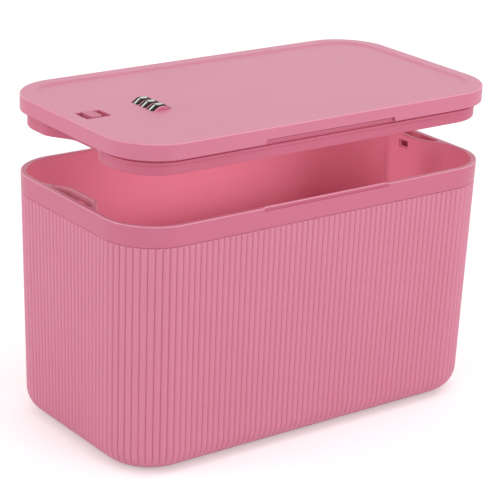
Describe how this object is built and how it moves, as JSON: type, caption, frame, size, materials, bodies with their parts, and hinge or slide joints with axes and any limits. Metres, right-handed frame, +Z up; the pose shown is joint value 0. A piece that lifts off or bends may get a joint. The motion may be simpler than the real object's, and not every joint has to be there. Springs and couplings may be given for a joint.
{
  "type": "medication lock box",
  "caption": "Ribbed plastic bin with a lift-off lid, locked by number dials and a thumb slider that drives a bolt into each short end of the bin.",
  "frame": {"origin": "middle of the footprint, on the surface that the bin stands on", "axes": "+X along the box from the lock end to the far end, -Y out of the long front with the finger notch, +Z up"},
  "size_m": [0.381, 0.2106, 0.2887],
  "materials": {
    "pink_shell": "satin moulded polypropylene",
    "pink_inner": "satin moulded polypropylene, a shade deeper",
    "black_dial": "glossy moulded ABS",
    "white_acetal": "natural acetal",
    "zinc_steel": "bright zinc plate",
    "brass": "turned and stamped brass"
  },
  "bodies": {
    "bin": {"bin_tub": "pink_shell"},
    "lid": {"lid_top_shell": "pink_shell", "lid_inner_tray": "pink_inner", "lid_screw_1": "zinc_steel", "lid_screw_2": "zinc_steel", "lid_screw_3": "zinc_steel", "lid_screw_4": "zinc_steel", "lid_screw_5": "zinc_steel", "lid_screw_6": "zinc_steel", "lid_screw_7": "zinc_steel", "lid_screw_8": "zinc_steel", "pinion_pin": "zinc_steel", "left_outer_keeper": "pink_inner", "left_inner_keeper": "pink_inner", "right_inner_keeper": "pink_inner", "right_outer_keeper": "pink_inner", "keeper_screw_1": "zinc_steel", "keeper_screw_2": "zinc_steel", "keeper_screw_3": "zinc_steel", "keeper_screw_4": "zinc_steel", "keeper_screw_5": "zinc_steel", "keeper_screw_6": "zinc_steel", "keeper_screw_7": "zinc_steel", "keeper_screw_8": "zinc_steel", "frame_screw_1": "zinc_steel", "frame_screw_2": "zinc_steel", "frame_screw_3": "zinc_steel", "frame_screw_4": "zinc_steel", "lock_frame": "zinc_steel", "detent_spring": "zinc_steel", "dial_axle": "zinc_steel", "axle_clip_1": "zinc_steel", "axle_clip_2": "zinc_steel"},
    "slider": {"thumb_slider": "pink_shell", "slider_pin": "zinc_steel", "left_bolt": "zinc_steel", "fence_comb": "zinc_steel", "fence_rivet_1": "brass", "fence_rivet_2": "brass"},
    "far_bolt": {"right_bolt": "zinc_steel"},
    "pinion": {"drive_pinion": "white_acetal"},
    "dial_1": {"number_dial_1": "black_dial", "code_disc_1": "brass"},
    "dial_2": {"number_dial_2": "black_dial", "code_disc_2": "brass"},
    "dial_3": {"number_dial_3": "black_dial", "code_disc_3": "brass"}
  },
  "joints": [
    {"name": "lid_lift", "type": "slide", "parent": "bin", "child": "lid", "axis": [0, 0, 1], "range_m": [-0.0537, 0.08]},
    {"name": "slider_travel", "type": "slide", "parent": "lid", "child": "slider", "axis": [-1, 0, 0], "range_m": [0, 0.0067]},
    {"name": "right_bolt_travel", "type": "slide", "parent": "lid", "child": "far_bolt", "axis": [1, 0, 0], "range_m": [0, 0.0068]},
    {"name": "pinion_turn", "type": "hinge", "parent": "lid", "child": "pinion", "pos_m": [0, 0, 0.2628], "axis": [0, 0, 1], "range_deg": [0, 43.5]},
    {"name": "dial_1_turn", "type": "hinge", "parent": "lid", "child": "dial_1", "pos_m": [-0.1075, -0.0111, 0.2773], "axis": [0, 1, 0], "continuous": true},
    {"name": "dial_2_turn", "type": "hinge", "parent": "lid", "child": "dial_2", "pos_m": [-0.1075, 0, 0.2773], "axis": [0, 1, 0], "continuous": true},
    {"name": "dial_3_turn", "type": "hinge", "parent": "lid", "child": "dial_3", "pos_m": [-0.1075, 0.0111, 0.2773], "axis": [0, 1, 0], "continuous": true}
  ],
  "couplings": [
    {"joint": "right_bolt_travel", "follows": "slider_travel", "ratio": 1},
    {"joint": "pinion_turn", "follows": "slider_travel", "rad_per_m": 111.11}
  ]
}
